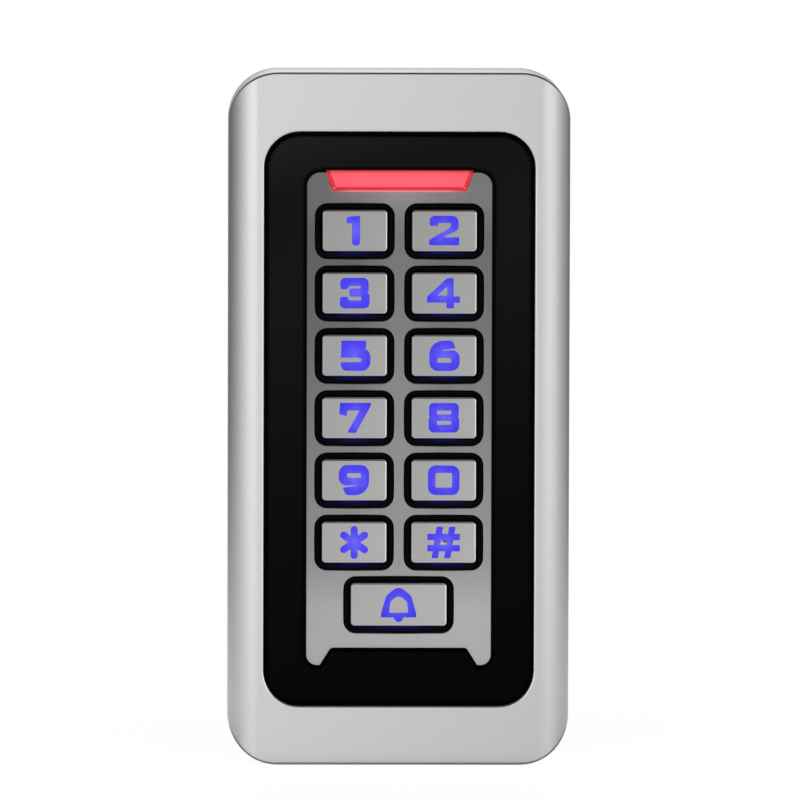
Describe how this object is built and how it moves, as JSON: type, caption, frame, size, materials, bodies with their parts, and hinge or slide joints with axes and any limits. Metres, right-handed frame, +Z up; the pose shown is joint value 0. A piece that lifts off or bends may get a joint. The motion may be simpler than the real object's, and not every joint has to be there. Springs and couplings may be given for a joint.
{
  "type": "keypad access reader",
  "caption": "Wall-mounted access keypad with a metal housing, black bezel, recessed faceplate with backlit press keys and a doorbell key, status lens, proximity antenna and hook-on wall plate.",
  "frame": {"origin": "middle of the wall plate's back face, in the plane of the wall", "axes": "+Y into the wall, +Z up, +X to the right as one faces the keypad"},
  "size_m": [0.0716, 0.024, 0.145],
  "materials": {
    "satin_zinc": "satin nickel over die-cast zinc, very fine grain",
    "bezel_plastic": "satin black, fine moulded texture",
    "seal_foam": "closed-cell foam strip",
    "faceplate_metal": "satin grey, fine blasted grain",
    "lens_red": "polished red diffuser, lit from behind",
    "collar_silicone": "smooth black silicone",
    "board_laminate": "green solder mask",
    "switch_metal": "stamped cover",
    "backlight_led": "blue light-emitting diode",
    "status_led": "white package",
    "coil_copper": "enamelled copper winding",
    "buzzer_plastic": "black",
    "relay_plastic": "white case",
    "capacitor_can": "sleeved can",
    "chip_plastic": "moulded epoxy",
    "connector_plastic": "natural nylon",
    "sensor_ceramic": "ceramic disc",
    "window_clear": "clear polycarbonate plug",
    "screw_steel": "zinc plated",
    "security_steel": "stainless, tamper-proof socket",
    "gasket_rubber": "moulded silicone",
    "cover_plastic": "black, spark-eroded texture",
    "grommet_rubber": "matt",
    "plate_steel": "zinc-plated sheet",
    "cap_metal": "satin grey with bright edges",
    "legend_blue": "clear plastic lit blue"
  },
  "bodies": {
    "reader": {"front_housing": "satin_zinc", "bezel": "bezel_plastic", "bezel_seal": "seal_foam", "faceplate": "faceplate_metal", "indicator_lens": "lens_red", "key_mat": "collar_silicone", "main_board": "board_laminate", "tact_switches": "switch_metal", "backlight_leds": "backlight_led", "status_leds": "status_led", "antenna_coil": "coil_copper", "buzzer": "buzzer_plastic", "relay": "relay_plastic", "capacitor": "capacitor_can", "microcontroller": "chip_plastic", "wire_connector": "connector_plastic", "tamper_sensor": "sensor_ceramic", "tamper_window": "window_clear", "board_screws": "screw_steel", "bezel_screws": "screw_steel", "rear_gasket": "gasket_rubber", "rear_cover": "cover_plastic", "rear_cover_screws": "screw_steel", "cable_grommet": "grommet_rubber", "wall_plate": "plate_steel", "security_screw": "security_steel"},
    "button_1": {"key_1": "cap_metal", "legend_1": "legend_blue"},
    "button_2": {"key_2": "cap_metal", "legend_2": "legend_blue"},
    "button_3": {"key_3": "cap_metal", "legend_3": "legend_blue"},
    "button_4": {"key_4": "cap_metal", "legend_4": "legend_blue"},
    "button_5": {"key_5": "cap_metal", "legend_5": "legend_blue"},
    "button_6": {"key_6": "cap_metal", "legend_6": "legend_blue"},
    "button_7": {"key_7": "cap_metal", "legend_7": "legend_blue"},
    "button_8": {"key_8": "cap_metal", "legend_8": "legend_blue"},
    "button_9": {"key_9": "cap_metal", "legend_9": "legend_blue"},
    "button_0": {"key_0": "cap_metal", "legend_0": "legend_blue"},
    "button_star": {"key_star": "cap_metal", "legend_star": "legend_blue"},
    "button_hash": {"key_hash": "cap_metal", "legend_hash": "legend_blue"},
    "button_bell": {"key_bell": "cap_metal", "legend_bell": "legend_blue"}
  },
  "joints": [
    {"name": "press_1", "type": "slide", "parent": "reader", "child": "button_1", "axis": [0, 1, 0], "range_m": [0, 0.001], "stiffness_N_per_m": 1200, "deforming": ["key_mat"]},
    {"name": "press_2", "type": "slide", "parent": "reader", "child": "button_2", "axis": [0, 1, 0], "range_m": [0, 0.001], "stiffness_N_per_m": 1200, "deforming": ["key_mat"]},
    {"name": "press_3", "type": "slide", "parent": "reader", "child": "button_3", "axis": [0, 1, 0], "range_m": [0, 0.001], "stiffness_N_per_m": 1200, "deforming": ["key_mat"]},
    {"name": "press_4", "type": "slide", "parent": "reader", "child": "button_4", "axis": [0, 1, 0], "range_m": [0, 0.001], "stiffness_N_per_m": 1200, "deforming": ["key_mat"]},
    {"name": "press_5", "type": "slide", "parent": "reader", "child": "button_5", "axis": [0, 1, 0], "range_m": [0, 0.001], "stiffness_N_per_m": 1200, "deforming": ["key_mat"]},
    {"name": "press_6", "type": "slide", "parent": "reader", "child": "button_6", "axis": [0, 1, 0], "range_m": [0, 0.001], "stiffness_N_per_m": 1200, "deforming": ["key_mat"]},
    {"name": "press_7", "type": "slide", "parent": "reader", "child": "button_7", "axis": [0, 1, 0], "range_m": [0, 0.001], "stiffness_N_per_m": 1200, "deforming": ["key_mat"]},
    {"name": "press_8", "type": "slide", "parent": "reader", "child": "button_8", "axis": [0, 1, 0], "range_m": [0, 0.001], "stiffness_N_per_m": 1200, "deforming": ["key_mat"]},
    {"name": "press_9", "type": "slide", "parent": "reader", "child": "button_9", "axis": [0, 1, 0], "range_m": [0, 0.001], "stiffness_N_per_m": 1200, "deforming": ["key_mat"]},
    {"name": "press_0", "type": "slide", "parent": "reader", "child": "button_0", "axis": [0, 1, 0], "range_m": [0, 0.001], "stiffness_N_per_m": 1200, "deforming": ["key_mat"]},
    {"name": "press_star", "type": "slide", "parent": "reader", "child": "button_star", "axis": [0, 1, 0], "range_m": [0, 0.001], "stiffness_N_per_m": 1200, "deforming": ["key_mat"]},
    {"name": "press_hash", "type": "slide", "parent": "reader", "child": "button_hash", "axis": [0, 1, 0], "range_m": [0, 0.001], "stiffness_N_per_m": 1200, "deforming": ["key_mat"]},
    {"name": "press_bell", "type": "slide", "parent": "reader", "child": "button_bell", "axis": [0, 1, 0], "range_m": [0, 0.001], "stiffness_N_per_m": 1200, "deforming": ["key_mat"]}
  ]
}
